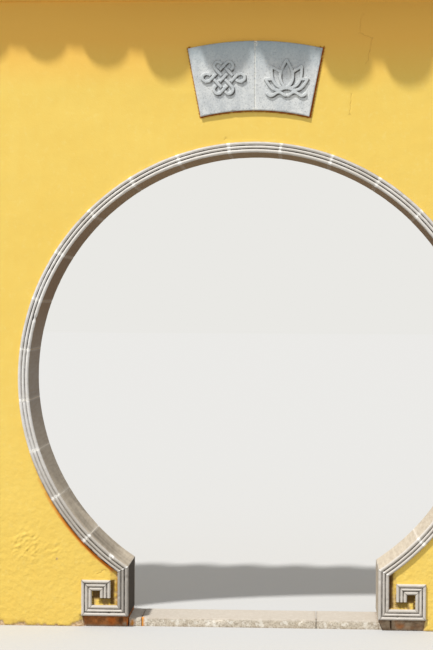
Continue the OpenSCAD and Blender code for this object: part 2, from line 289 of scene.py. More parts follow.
class Finish:
    """A material under construction: coats of colour and layers of relief, each over those before it.
    The other methods give sockets. A colour is written as it looks on a screen, from 0 to 255."""

    def __init__(self, name, roughness, specular, colour):
        self.material = bpy.data.materials.new(name)
        self.material.use_nodes = True
        self.tree = self.material.node_tree
        self.shader = next(n for n in self.tree.nodes if n.type == "BSDF_PRINCIPLED")
        self.shader.inputs["Roughness"].default_value = roughness
        self.shader.inputs["Specular IOR Level"].default_value = specular
        self.place = self.add("ShaderNodeTexCoord").outputs["Object"]
        self.colour = colour
        self.normal = None

    def feed(self, socket, value):
        if isinstance(value, bpy.types.NodeSocket):
            self.tree.links.new(value, socket)
        else:
            socket.default_value = srgb(*value) if isinstance(value, tuple) else value

    def add(self, kind, **sockets):
        node = self.tree.nodes.new(kind)
        for name, value in sockets.items():
            self.feed(node.inputs[name.replace("_", " ")], value)
        return node

    def coat(self, colour, *shares):
        """Lays a colour over the earlier ones, as thickly as its shares give when multiplied."""
        self.colour = self.mix(reduce(self.times, shares), self.colour, colour)
        self.feed(self.shader.inputs["Base Color"], self.colour)

    def relief(self, distance, size, detail, low=0.0, high=1.0, strength=1.0):
        height = self.noise(size, detail, low, high)
        node = self.add("ShaderNodeBump", Height=height, Distance=distance, Strength=strength)
        if self.normal:
            self.feed(node.inputs["Normal"], self.normal)
        self.normal = node.outputs["Normal"]
        self.feed(self.shader.inputs["Normal"], self.normal)

    def spread(self, value, low, high):
        """0 at the low value and 1 at the high one, which may be the smaller of the two."""
        return self.add("ShaderNodeMapRange", Value=value, From_Min=low, From_Max=high).outputs["Result"]

    def noise(self, size, detail, low=0.35, high=0.65, stretch=None):
        """Noise with lumps of that size in metres; stretch has a small value where they are long."""
        place = self.place
        if stretch:
            mapping = self.add("ShaderNodeMapping", Vector=place)
            mapping.inputs["Scale"].default_value = stretch
            place = mapping.outputs["Vector"]
        texture = self.add("ShaderNodeTexNoise", Vector=place, Scale=1 / size, Detail=detail)
        return self.spread(texture.outputs["Fac"], low, high)

    def height(self, low, high):
        parts = self.add("ShaderNodeSeparateXYZ", Vector=self.place)
        return self.spread(parts.outputs["Z"], low, high)

    def mask(self, name):
        node = self.add("ShaderNodeAttribute")
        node.attribute_name = name
        return node.outputs["Fac"]

    def times(self, first, second):
        node = self.add("ShaderNodeMath")
        node.operation = "MULTIPLY"
        self.feed(node.inputs[0], first)
        self.feed(node.inputs[1], second)
        return node.outputs["Value"]

    def mix(self, share, first, second):
        node = self.add("ShaderNodeMix")
        node.data_type = "RGBA"
        self.feed(node.inputs["Factor"], share)
        self.feed(node.inputs[6], first)
        self.feed(node.inputs[7], second)
        return node.outputs[2]


def plaster_finish():
    """Yellow limewash, uneven and a little worn, with bare render where it has come off, and painted shade
    under the eave, beside the lower left of the ring, round the plaque and in the corners of the scrolls.
    """
    f = Finish("yellow_limewash", 0.92, 0.15, (243, 208, 103))
    eave_shade_band = f.height(2.62, 2.86)
    near_ground = f.height(1.2, 0.3)
    render = f.mix(f.noise(0.012, 3), (228, 200, 162), (178, 144, 106))
    f.coat((247, 214, 111), f.noise(0.75, 3))
    f.coat((243, 203, 96), f.noise(0.05, 4, 0.3, 0.7, (1, 1, 0.35)), 0.35)
    f.coat((252, 228, 142), f.noise(0.018, 3, 0.58, 0.75), 0.25)
    # painted shade: a warmer, darker tint over the band that the eave's shadow covers
    f.coat((251, 194, 92), eave_shade_band, 0.9)
    # stain beside the jambs, and stain with painted shadow round the plaque
    f.coat((158, 84, 24), f.mask("stain_and_shade"), f.noise(0.03, 3, 0.05, 0.45))
    # painted shade: the ring's cast shadow on the lower left, coloured orange as by light thrown back from
    # the limewash, with some stain
    f.coat((222, 122, 34), f.mask("shade_and_stain_orange"))
    f.coat((150, 108, 58), f.mask("grime_and_shade"), f.noise(0.02, 4, 0.25, 0.6))
    # painted shadow, with dirt, in the corners where the scroll's bars cast shadows
    f.coat((66, 36, 14), f.mask("soil_and_shade"))
    f.coat(render, f.mask("bare"))
    f.relief(0.0012, 0.06, 3)
    f.relief(0.0004, 0.006, 3)
    f.relief(0.0036, 0.026, 4, strength=near_ground)
    return f.material


def ring_finish():
    """Rubbed pale stone: clouds, dirt in the grooves, and a reveal that darkens and browns upwards; painted
    shade darkens the left jamb's reveal and the lower left outer edge.
    """
    f = Finish("ring_stone", 0.75, 0.25, (247, 246, 245))
    f.coat((228, 225, 222), f.noise(0.11, 4))
    f.coat((216, 211, 202), f.noise(0.035, 4, 0.45, 0.7), 0.4)
    f.coat((214, 204, 190), f.height(1.6, 2.0), 0.45)
    f.coat((194, 182, 166), f.height(0.9, 0.55), 0.55)
    f.coat((184, 177, 166), f.mask("tone"), 0.3)
    reveal = f.mix(f.height(0.65, 1.1), (208, 195, 174), (152, 141, 129))
    reveal = f.mix(f.height(1.25, 1.6), reveal, (128, 99, 68))
    reveal = f.mix(f.height(1.8, 2.2), reveal, (150, 118, 78))
    streaks = f.times(f.noise(0.012, 4, 0.35, 0.75, (1, 0.12, 1)), 0.35)
    f.coat(f.mix(streaks, reveal, (126, 104, 80)), f.mask("reveal"))
    f.coat((120, 112, 104), f.noise(0.0025, 2), 0.12)
    # soil and streaks on the lower left; painted shade on the left jamb's reveal
    f.coat((54, 44, 34), f.mask("soil_and_shade"))
    # dirt in grooves and open joints, and painted shade along the lower left outer edge of the ring
    f.coat((46, 36, 28), f.mask("dirt_and_shade"), f.noise(0.03, 4, 0.2, 0.6))
    f.coat((252, 250, 246), f.mask("lime"), f.noise(0.009, 3, 0.35, 0.55))
    f.relief(0.0012, 0.02, 5)
    f.relief(0.00025, 0.0025, 2, 0.35, 0.65)
    return f.material


def plaque_finish():
    """Honed blue-grey stone, with soft streaks, dirt and painted shade round the ornament and lime in the
    joint; painted shade over its top, and a painted shadow below and right of the ornament.
    """
    f = Finish("plaque_stone", 0.7, 0.25, (226, 228, 227))
    f.coat((204, 208, 210), f.noise(0.09, 4))
    f.coat((188, 193, 197), f.noise(0.03, 4, 0.45, 0.7, (1, 1, 0.4)), 0.6)
    f.coat((138, 141, 144), f.noise(0.006, 3, 0.52, 0.64), 0.5)
    f.coat((240, 241, 238), f.noise(0.012, 3, 0.54, 0.66), 0.5)
    f.coat((188, 194, 197), f.mask("tone"), 0.4)
    # painted shade: darker and bluer over the top of the plaque, where the eave's shadow lies
    f.coat((158, 176, 184), f.height(2.70, 2.86), 0.85)
    # dirt at the edges, dirt and painted shade round the ornament, and its painted shadow below and right
    f.coat((64, 54, 46), f.mask("dirt_and_shade"), f.noise(0.02, 3, 0.0, 0.3))
    f.coat((238, 237, 230), f.mask("lime"), f.noise(0.009, 3, 0.35, 0.6))
    f.relief(0.0012, 0.02, 5)
    f.relief(0.0002, 0.0025, 2, 0.35, 0.65)
    return f.material


def joint_finish():
    """White lime mortar of the ring's joints, browned on the reveal."""
    f = Finish("lime_mortar", 0.9, 0.15, (252, 250, 246))
    f.coat((236, 232, 224), f.noise(0.02, 4))
    browned = f.mix(f.height(0.8, 1.4), (214, 203, 186), (150, 122, 88))
    f.coat(browned, f.mask("reveal"), 0.9)
    f.relief(0.0008, 0.006, 4)
    return f.material


def bedding_finish():
    """Mortar between the roof tiles, with darker flecks."""
    f = Finish("bedding_mortar", 0.85, 0.2, (170, 162, 148))
    lump = 0.08
    f.coat((128, 122, 112), f.noise(lump, 4))
    f.coat((92, 88, 82), f.noise(lump / 12, 3, 0.52, 0.66), 0.7)
    f.relief(0.003, lump / 4, 5)
    f.relief(0.0006, lump / 40, 2)
    return f.material


def threshold_finish():
    """Granite worn pale by feet, with splashes of yellow limewash."""
    f = Finish("threshold_granite", 0.8, 0.3, (226, 216, 200))
    f.coat((212, 201, 182), f.noise(0.16, 4))
    f.coat((158, 144, 124), f.noise(0.006, 2, 0.48, 0.60), 0.6)
    f.coat((180, 164, 142), f.noise(0.030, 4, 0.50, 0.62), 0.3)
    f.coat((246, 240, 228), f.noise(0.022, 4, 0.54, 0.64), 0.8)
    f.coat((190, 172, 146), f.noise(0.05, 4, 0.5, 0.75, (0.5, 1, 1)), 0.35)
    f.coat((184, 175, 163), f.mask("top"), 0.85)
    f.coat((142, 122, 98), f.mask("grime_and_shade"), f.noise(0.012, 4, 0.3, 0.6))
    f.coat((226, 148, 52), f.mask("splash"))
    f.relief(0.0028, 0.014, 5)
    return f.material


def footing_finish():
    """Rough mortar under the feet; the colour of the limewash has run down on it in places."""
    f = Finish("footing_mortar", 0.95, 0.1, (196, 176, 150))
    soaked = f.mix(f.noise(0.025, 4, 0.4, 0.6), (214, 136, 74), (164, 104, 58))
    f.coat((146, 124, 102), f.noise(0.03, 4))
    f.coat(soaked, f.mask("stain_and_shade"))
    f.coat((206, 112, 46), f.mask("bright"))
    # grime, and painted shade along the top under the overhang of the feet
    f.coat((72, 52, 36), f.mask("grime_and_shade"))
    f.relief(0.003, 0.010, 5)
    return f.material


def tile_finish():
    """Grey clay tile, paler where weathered, with old soot and lichen in the laps."""
    f = Finish("roof_clay", 0.85, 0.2, (112, 112, 110))
    f.coat((86, 87, 88), f.noise(0.14, 4))
    f.coat((132, 130, 124), f.mask("tone"))
    f.coat((64, 64, 62), f.noise(0.03, 4, 0.5, 0.68), 0.6)
    f.coat((158, 156, 142), f.noise(0.018, 3, 0.62, 0.72), 0.7)
    f.relief(0.0015, 0.02, 5)
    f.relief(0.0003, 0.003, 2)
    return f.material


PLASTER = plaster_finish()
RING_STONE = ring_finish()
PLAQUE_STONE = plaque_finish()
JOINT = joint_finish()
THRESHOLD = threshold_finish()
FOOTING = footing_finish()
TILE = tile_finish()
BED_MORTAR = bedding_finish()


# Moulding

# Deepest chip of the ring and a splash of lime on it: their angles, and how far out they lie
CHIP_ANGLE = math.radians(164.7)
SPLASH_ANGLE = math.radians(231.4)
MARK_ACROSS = 0.006
# Chips of each jamb, as distance out, height, radius and depth, and of each scroll, with x for the distance
JAMB_CHIPS = ((0.004, 0.245, 0.012, 0.003), (0.045, 0.150, 0.009, 0.002))
SCROLL_CHIPS = ((0.800, FOOT_TOP, 0.010, 0.002), (0.700, 0.070, 0.010, 0.0025))


def arc_points(centre, radius, start, end, count):
    """Points on an arc from one angle to another, in degrees."""
    angles = np.radians(np.linspace(start, end, count))
    return [(centre[0] + radius * math.cos(a), centre[1] + radius * math.sin(a)) for a in angles]


def moulding_face():
    """Section of the moulding's face from the plaster to the opening: width, and distance from mid-wall."""
    half_circle = arc_points((0, 0), 1.0, 0, 180, 9)
    beads = ((MOULD_W - BEAD_R, BEAD_R), (MOULD_W / 2, FINE_BEAD_R), (BEAD_R, BEAD_R))
    return [(middle + half_w * s, GROOVE_FLOOR + BEAD_R * d)
            for middle, half_w in beads for s, d in half_circle]


def through_section(reveal, hidden):
    """Section of a stone moulded on both faces, with points down its reveal and up its hidden side."""
    face = moulding_face()
    back = [(s, -d) for s, d in reversed(face)]
    return np.array(face + [(0.0, d) for d in reveal] + back + [(MOULD_W, d) for d in hidden])


def ring_section():
    """Section of a ring stone."""
    return through_section(np.linspace(GROOVE_FLOOR - 0.002, 0.002 - GROOVE_FLOOR, 22),
                           np.linspace(-GROOVE_FLOOR, GROOVE_FLOOR, 5)[1:-1])


def jamb_section():
    """Section of a jamb, with a pair of points where the let-in scroll begins."""
    above, below = SCROLL_BED + 0.0005, SCROLL_BED - 0.0005
    return through_section([above, *np.linspace(below, -below, 12), -above], [-above, -below, below, above])


def bar_section():
    """Section of a scroll bar, which is let into the face of the wall."""
    return moulding_face() + [(0.0, SCROLL_BED), (MOULD_W, SCROLL_BED)]


def moulding_masks(section, times, length, tone, groove_dirt, gaps=(), lime_at=()):
    """Dirt in the grooves and at open joints, lime by mortar joints, the reveal and the stone's tone."""
    across, depth = (np.tile(values, len(times)) for values in np.transpose(section))
    along = np.repeat(times, len(section)) * length
    middle = MOULD_W / 2
    groove = np.abs(np.abs(across - middle) - GROOVE_FROM_MIDDLE) < GROOVE_HALF_W
    groove &= np.abs(np.abs(depth) - GROOVE_FLOOR) < 0.001
    in_groove = np.where(across < middle, groove_dirt, 0.7 * groove_dirt) * groove
    at_gaps = [fade(0.0005, 0.003, np.abs(along - place)) for place in gaps]
    near_lime = [fade(0.001, 0.007, np.abs(along - place)) for place in lime_at]
    reveal = (across < 0.0005) & (np.abs(depth) < GROOVE_FLOOR - 0.001)
    return {"dirt_and_shade": most(0.2 * (across > MOULD_W - 0.003), in_groove, *at_gaps), "reveal": 1.0 * reveal,
            "lime": most(0.0 * along, *near_lime) * (1 - 0.8 * reveal), "tone": 0.0 * along + tone}


def ring_point(across, depth, angle):
    """World place from the distance out from the clear opening, the distance from mid-wall and the angle."""
    radius = GATE_R + across
    return radius * np.cos(angle), -depth, GATE_Z + radius * np.sin(angle)


def ring_angle(joint):
    """Angle of a joint of the ring, counted from the left foot over the top."""
    return math.pi / 2 + RING_HALF_ANGLE - joint * STONE_ANGLE


def mitre_z(across):
    """Height of the mitre between ring and jamb, at a distance out from the clear opening."""
    return MITRE_IN_Z + (MITRE_OUT_Z - MITRE_IN_Z) * across / MOULD_W


def mitre_angle(across):
    return np.arctan2(mitre_z(across) - GATE_Z, -JAMB_IN - across) % (2 * math.pi)


def ring_chips(index, draw):
    """Small chips off one stone's edges and beads, and the deep one that the photograph shows."""
    chips = [(ring_point(MARK_ACROSS, MOULD_FRONT, CHIP_ANGLE), 0.016, 0.0075)]
    chip_count, beads = 5, [0.004, 0.026, 0.046]
    for _ in range(chip_count):
        t = draw.choice([0.0, 1.0]) if draw.random() < 0.5 else draw.random()
        across = draw.choice(beads)
        side = draw.choice([FRONT, BACK])
        place = ring_point(across, -side * MOULD_FRONT, ring_angle(index + t))
        chips.append((place, draw.uniform(0.006, 0.014), draw.uniform(0.001, 0.003)))
    return chips


def soil_ring(masks, verts, across, first):
    """Darkens the ring's grooves towards the top, soils the lower left of the front and its reveal, and
    paints shade along the lower left outer edge.
    """
    x, y, height = verts.T
    upper = rise(1.3, 1.5, height)
    corner = lower_left(x, height)
    low = corner * (y < 0)
    streaks = noise(stacked(0.1 * x, across, y), 0.006, 9)
    bands = 0.08 + 0.20 * noise(verts * (0.1, 1.0, 0.1), 0.05, 19, 3)
    bands += 0.26 * first * rise(0.32, 0.37, height)
    splash = np.array(ring_point(MARK_ACROSS, MOULD_FRONT, SPLASH_ANGLE))
    masks["dirt_and_shade"] *= (1 - 0.4 * rise(0.38, 0.58, height) * fade(1.1, 1.3, height)) * (1 + upper)
    # painted shade along the outer edge on the lower left, where the stone's side faces away from the light
    masks["dirt_and_shade"] = most(masks["dirt_and_shade"], low * (across > MOULD_W - 0.005))
    masks["tone"] += 0.2 * upper + low * (1.4 + 0.8 * streaks)
    masks["soil_and_shade"] = low * most(0.10 + 0.10 * streaks, 0.0) + corner * masks["reveal"] * most(bands, 0.0)
    masks["lime"] = most(masks["lime"], fade(0.012, 0.020, np.linalg.norm(verts - splash, axis=1)))


def ring_stones():
    """The stones of the ring; the first and the last one end in a mitre."""
    section = ring_section()
    across = section[:, 0]
    draw = np.random.default_rng(7)
    length = STONE_ANGLE * GATE_R
    half_joint = JOINT_W / (GATE_R + MOULD_W / 2) / 2
    times = fine_ends(34, 0.008)
    for index, node in enumerate(STONES):
        first, last = index == 0, index == len(STONES) - 1
        start = mitre_angle(across) if first else ring_angle(index) - half_joint
        end = math.pi - mitre_angle(across) if last else ring_angle(index + 1) + half_joint
        skin = sweep(section, times, lambda s, d, t: ring_point(s, d, start + (end - start) * t))
        gaps = [0.0] if first else [length] if last else []
        masks = moulding_masks(section, times, length, draw.uniform(0, 0.8), 0.8, gaps, [0.0, length])
        soil_ring(masks, skin[0], np.tile(across, len(times)), first)
        add_piece(node + "_face", skin, RING_STONE, [node], masks=masks,
                  worn=(0.0004, 0.03, 3, index), chips=ring_chips(index, draw))


def ring_joints():
    """Lime mortar in the joints, almost flush with the stones."""
    section = ring_section()
    across, depth = section.T
    across += np.where(across < MOULD_W / 2, JOINT_RECESS, -JOINT_RECESS)
    depth -= np.copysign(JOINT_RECESS, depth)
    draw = np.random.default_rng(31)
    times = even(4)
    parts = []
    for joint in range(1, len(STONES)):
        middle = ring_angle(joint)
        half = draw.uniform(0.0040, 0.0055) / GATE_R
        parts.append(sweep(section, times, lambda s, d, t: ring_point(s, d, middle + half * (1 - 2 * t))))
    reveal = np.tile((across < 0.001) & (np.abs(depth) < HALF_T), len(times) * len(parts))
    add_piece("ring_joints", join(parts), JOINT, ["ring_mortar"], masks={"reveal": reveal},
              worn=(0.0005, 0.008, 2, 33))


def mirrored(place, side_x, side_y):
    """Place function with x or y turned over."""
    def turned(a, b, t):
        x, y, z = place(a, b, t)
        return side_x * x, side_y * y, z
    return turned


def jamb_place(across, depth, t):
    """Left jamb from its foot to the mitre; only the moulded faces are mitred with the scroll."""
    low = FOOT_Z + across * (np.abs(depth) > SCROLL_BED - 0.0001)
    return -JAMB_IN - across, -depth, low + (mitre_z(across) - low) * t


def jambs():
    """Both jambs; the left one is the more soiled, and its reveal is darkened by painted shade as well as
    soil.
    """
    section = jamb_section()
    times = fine_ends(34, 0.012)
    length = MITRE_IN_Z - FOOT_Z
    for node, side, soiled, reveal_soil_and_shade, seed in (("jamb_left", -1, 0.36, 0.97, 40),
                                                    ("jamb_right", 1, 0.10, 0.2, 41)):
        masks = moulding_masks(section, times, length, 0.4, 1.0, gaps=(0.0, length))
        # soil on the faces; on the left reveal mostly painted shade
        masks["soil_and_shade"] = np.where(masks["reveal"] > 0, reveal_soil_and_shade, soiled)
        chips = [((side * (JAMB_IN + out), -MOULD_FRONT, z), radius, depth)
                 for out, z, radius, depth in JAMB_CHIPS]
        skin = sweep(section, times, mirrored(jamb_place, -side, 1))
        add_piece(node + "_face", skin, RING_STONE, [node], masks=masks,
                  worn=(0.0005, 0.03, 3, seed), chips=chips)


def scroll_bars():
    """Bars of the left front scroll: start, direction, inward direction, length, mitred start or not."""
    return [
        ((-FOOT_OUT, FOOT_Z), (1, 0), (0, 1), FOOT_OUT - JAMB_IN, True),
        ((-FOOT_OUT, FOOT_TOP), (0, -1), (1, 0), FOOT_TOP - FOOT_Z, True),
        ((-ARM_RIGHT, FOOT_TOP), (-1, 0), (0, -1), FOOT_OUT - ARM_RIGHT, True),
        ((-ARM_RIGHT, FOOT_TOP - ARM_LEN), (0, 1), (-1, 0), ARM_LEN, False),
    ]


def scroll(node, side_x, side_y, seed):
    """One square scroll; side_x and side_y are -1 where it mirrors the left front one."""
    section = bar_section()
    parts, masks = [], []
    for (x0, z0), (ux, uz), (vx, vz), length, mitred in scroll_bars():
        def place(s, d, t):
            start = mitred * s
            run = start + (length - s - start) * t
            return x0 + ux * run + vx * s, -d, z0 + uz * run + vz * s
        times = fine_ends(max(8, round(length / 0.007)), 0.002 / length)
        parts.append(sweep(section, times, mirrored(place, side_x, side_y)))
        gaps = [0.0, length] if mitred else [length]
        masks.append(moulding_masks(section, times, length, 0.8 if vz < 0 else 0.0, 0.9, gaps))
    chips = [((-side_x * x, -side_y * MOULD_FRONT, z), radius, depth) for x, z, radius, depth in SCROLL_CHIPS]
    add_piece(node + "_bars", join(parts), RING_STONE, [node], masks=join_masks(masks),
              worn=(0.0005, 0.025, 3, seed), chips=chips)


# Plaster

# Large cracks of the front, and places on it as a centre and two radii
CRACK_LINES = [
    [(0.513, 2.974), (0.504, 2.888), (0.562, 2.863), (0.543, 2.758), (0.529, 2.734)],
    [(0.467, 2.590), (0.462, 2.540), (0.458, 2.494)],
    [(-0.756, 0.260), (-0.742, 0.265), (-0.733, 0.276), (-0.718, 0.279)],
    [(-0.148, 2.372), (-0.143, 2.384)],
]
BLISTERS = ((-1.110, 0.392), (0.100, 0.110))
FAINT_BLISTERS = ((-0.985, 0.380), (0.045, 0.060))
BUMPS = (((-1.051, 0.111), (0.012, 0.009)), ((-0.955, 0.176), (0.012, 0.009)))
HOLE = ((-0.870, 2.103), (0.007, 0.006))
BARE_SPECK = ((-0.959, 0.331), (0.006, 0.009))
# Bites out of the bottom edge: x, half width and height
BITES = ((-1.236, 0.02, 0.022), (-1.132, 0.03, 0.012), (-1.016, 0.015, 0.008), (-0.959, 0.012, 0.007))
# Fine areas: low and high x, low and high z, spacing of the points
BLISTER_AREA = (-1.240, -0.900, 0.270, 0.500, 0.006)
FINE_AREAS = (
    (-HALF_LEN, HALF_LEN, 0.0, 0.055, 0.008),
    BLISTER_AREA,
    (-0.870, -0.630, 0.040, 0.330, 0.006),
    (0.630, 0.870, 0.040, 0.330, 0.006),
    (-0.345, 0.345, 2.465, 2.530, 0.006),
    (-0.345, -0.255, 2.530, 2.860, 0.006),
    (0.255, 0.345, 2.530, 2.860, 0.006),
)
# How far the plaster's lower corners lean in over the footing
CORNER_LEAN = 0.012
PLASTER_R = RING_R - LAP
PLASTER_JAMB = JAMB_OUT - LAP
PLASTER_FOOT_Z = FOOT_Z + LAP
PLASTER_JOIN_Z = GATE_Z - math.sqrt(PLASTER_R ** 2 - PLASTER_JAMB ** 2)


def run(start, end, step):
    """Points from start up to but without end."""
    start, end = np.asarray(start, float), np.asarray(end, float)
    count = max(1, round(np.linalg.norm(end - start) / step))
    return [tuple(start + (end - start) * i / count) for i in range(count)]


def plaster_outline():
    """Edge of the plaster seen from the front, starting at the lower left corner."""
    join_angle = math.atan2(PLASTER_JOIN_Z - GATE_Z, -PLASTER_JAMB) % (2 * math.pi)
    foot_corner = (-FOOT_OUT, PLASTER_FOOT_Z)
    half = run((CORNER_LEAN - FOOT_OUT, 0), foot_corner, 0.006)
    half += run(foot_corner, (-PLASTER_JAMB, PLASTER_FOOT_Z), 0.012)
    half += run((-PLASTER_JAMB, PLASTER_FOOT_Z), (-PLASTER_JAMB, PLASTER_JOIN_Z), 0.010)
    angles = np.linspace(join_angle, math.pi / 2, round((join_angle - math.pi / 2) * PLASTER_R / 0.008) + 1)
    half += [(PLASTER_R * math.cos(a), GATE_Z + PLASTER_R * math.sin(a)) for a in angles]
    outline = run((-HALF_LEN, 0), (CORNER_LEAN - FOOT_OUT, 0), 0.008) + half
    outline += [(-x, z) for x, z in reversed(half[:-1])]
    outline += run((FOOT_OUT - CORNER_LEAN, 0), (HALF_LEN, 0), 0.008)[1:]
    corners = [(HALF_LEN, 0), (HALF_LEN, WALL_H), (-HALF_LEN, WALL_H), (-HALF_LEN, 0)]
    return outline + [point for ends in pairwise(corners) for point in run(*ends, 0.03)]


def in_plaster(points, margin):
    x, z = np.abs(points[:, 0]), points[:, 1]
    opening = np.hypot(x, z - GATE_Z) < PLASTER_R + margin
    opening |= (x < PLASTER_JAMB + margin) & (z < PLASTER_JOIN_Z)
    lean = CORNER_LEAN * (1 - z / PLASTER_FOOT_Z)
    opening |= (x < FOOT_OUT - lean + margin) & (z < PLASTER_FOOT_Z + margin)
    inside = (x < HALF_LEN - margin) & (z > margin) & (z < WALL_H - margin)
    return inside & ~opening


def grid_points(x0, x1, z0, z1, step, draw):
    """Points in offset rows, each moved a little."""
    xs = np.arange(x0, x1 + step / 2, step)
    zs = np.arange(z0, z1 + step / 2, step * 0.87)
    grid = np.array([(x + (row % 2) * step / 2, z) for row, z in enumerate(zs) for x in xs])
    return grid + draw.uniform(-0.12, 0.12, grid.shape) * step


def line_distance(points, line):
    """Distance of each point from a line of straight pieces."""
    best = np.full(len(points), np.inf)
    for start, end in pairwise(line):
        way = np.subtract(end, start)
        t = np.clip(((points - start) @ way) / (way @ way), 0, 1)
        best = np.minimum(best, np.linalg.norm(points - start - t[:, None] * way, axis=1))
    return best


def ragged_line(line, seed):
    """The same line with small turns."""
    flat = np.array([place for ends in pairwise(line) for place in run(*ends, 0.009)] + [line[-1]])
    places = stacked(*flat.T, 0.0)
    return (flat + 0.0035 * stacked(*(noise(places, 0.016, seed + i, 2) for i in (0, 5)))).tolist()


CRACKS = [ragged_line(line, 200 + i) for i, line in enumerate(CRACK_LINES)]


def crack_points(line):
    """Points along a crack and beside it, so that the mesh can follow its groove."""
    points = []
    for start, end in pairwise(line):
        way = np.subtract(end, start)
        aside = np.array([-way[1], way[0]]) / np.linalg.norm(way)
        for place in run(start, end, 0.006):
            points += [place + aside * away for away in (-0.005, -0.0012, 0.0, 0.0012, 0.005)]
    return np.array(points)


def rows_by_ring():
    """Three rows of points that follow the plaster's round edge."""
    count = round(2 * math.pi * PLASTER_R / 0.010)
    rows = []
    for row, offset in enumerate((0.008, 0.016, 0.026)):
        angles = (np.arange(count) + 0.5 * (row % 2)) * 2 * math.pi / count
        radius = PLASTER_R + offset
        rows.append(stacked(radius * np.cos(angles), GATE_Z + radius * np.sin(angles)))
    rows = np.concatenate(rows)
    return rows[rows[:, 1] > MITRE_OUT_Z + 0.01]


def plaster_points(side, draw):
    """Points inside the plaster: coarse, then finer where there is more to show."""
    points = grid_points(-HALF_LEN, HALF_LEN, 0, WALL_H, 0.018 if side == FRONT else 0.024, draw)
    for area in FINE_AREAS:
        if side == BACK and area is BLISTER_AREA:
            continue
        x, z = points.T
        inside = (x > area[0]) & (x < area[1]) & (z > area[2]) & (z < area[3])
        points = np.concatenate([points[~inside], grid_points(*area, draw)])
    x, z = points.T
    away = np.hypot(x, z - GATE_Z) - PLASTER_R
    points = np.concatenate([points[(away > 0.034) | (z < MITRE_OUT_Z)], rows_by_ring()])
    for line in CRACKS if side == FRONT else ():
        points = np.concatenate([points[line_distance(points, line) > 0.009], crack_points(line)])
    return points[in_plaster(points, 0.0035)]


def plaque_stain_and_shadow(x, z):
    """The brown line where the plaster meets the plaque: stain, and painted shadow that is widest under it
    and on its right.
    """
    half_w = PLAQUE_BOTTOM_W / 2
    foot_z = PLAQUE_ARC_Z + math.sqrt(PLAQUE_BOTTOM_R ** 2 - half_w ** 2)
    slant = (PLAQUE_TOP_W / 2 - half_w) / PLAQUE_SIDE
    below = PLAQUE_BOTTOM_R - np.hypot(x, z - PLAQUE_ARC_Z)
    beside = np.abs(x) - half_w - (z - foot_z) * slant
    under = fade(0.006, 0.011, below) * (np.abs(x) < half_w + 0.004) * (z < 2.53) * (beside < 0.003)
    reach = np.where(x > 0, 0.009, 0.003)
    side_low, side_high = 2.480, 2.822
    ends = fade(reach, reach + 0.004, beside) * (z > side_low) * (z < side_high) * (below < 0.004)
    return most(under, ends)


def crumbled_height(x, side, places, uneven):
    """Height up to which the bottom edge has crumbled and shows bare render."""
    height = 0.005 + 0.004 * noise(places, 0.11, 31, 2) + uneven
    if side == FRONT:
        for bite_x, half_w, bite_h in BITES:
            height += bite_h * fade(0.4 * half_w, half_w, np.abs(x - bite_x))
        height += 0.030 * (x < 0) * fade(0.0, 0.075, -FOOT_OUT - x)
    return height


def scroll_soil_and_shade(x, z, strip, hollow, uneven):
    """Painted shadow and brown dirt in the corners where the scroll's bars cast their shadows."""
    out = np.abs(x)
    beyond_arm = hollow & (out > ARM_RIGHT - 0.002)
    under_arm = beyond_arm & (out < ARM_RIGHT + MOULD_W + 0.006)
    edge = np.where(x > 0, out - JAMB_OUT, ARM_RIGHT - out)
    beside_arm = strip & (z > 0.112) & (z < np.where(x > 0, 0.28, FOOT_TOP))
    return 0.9 * most(beyond_arm * rise(0.131, 0.141, z + uneven),
                      0.8 * under_arm * rise(0.108, 0.116, z + uneven),
                      hollow * fade(0.008, 0.014, FOOT_OUT - MOULD_W - out),
                      beside_arm * fade(0.015, 0.024, edge + uneven))


def front_marks(x, z, relief, masks):
    """Adds the blisters, bumps, cracks and stains that only the front has, with the painted shadow round the
    plaque.
    """
    diagonal = stacked((x + z) * 0.45, z - x, 0.0)
    relief += spot(x, z, *BLISTERS) * (0.0028 * most(noise(diagonal, 0.013, 51, 3), -0.3) + 0.0006)
    relief += spot(x, z, *FAINT_BLISTERS) * 0.0016 * noise(diagonal, 0.018, 53, 2)
    for bump in BUMPS:
        relief += 0.0016 * spot(x, z, *bump)
    hole = spot(x, z, *HOLE)
    relief -= 0.002 * hole
    masks["bare"] = most(masks["bare"], spot(x, z, *BARE_SPECK))
    # stain and painted shadow round the plaque
    masks["stain_and_shade"] = most(masks["stain_and_shade"], plaque_stain_and_shadow(x, z))
    masks["grime_and_shade"] = most(masks["grime_and_shade"], hole)
    for line in CRACKS:
        groove = np.exp(-(line_distance(stacked(x, z), line) / 0.0011) ** 2)
        relief -= 0.0012 * groove
        masks["grime_and_shade"] = most(masks["grime_and_shade"], 0.35 * groove)


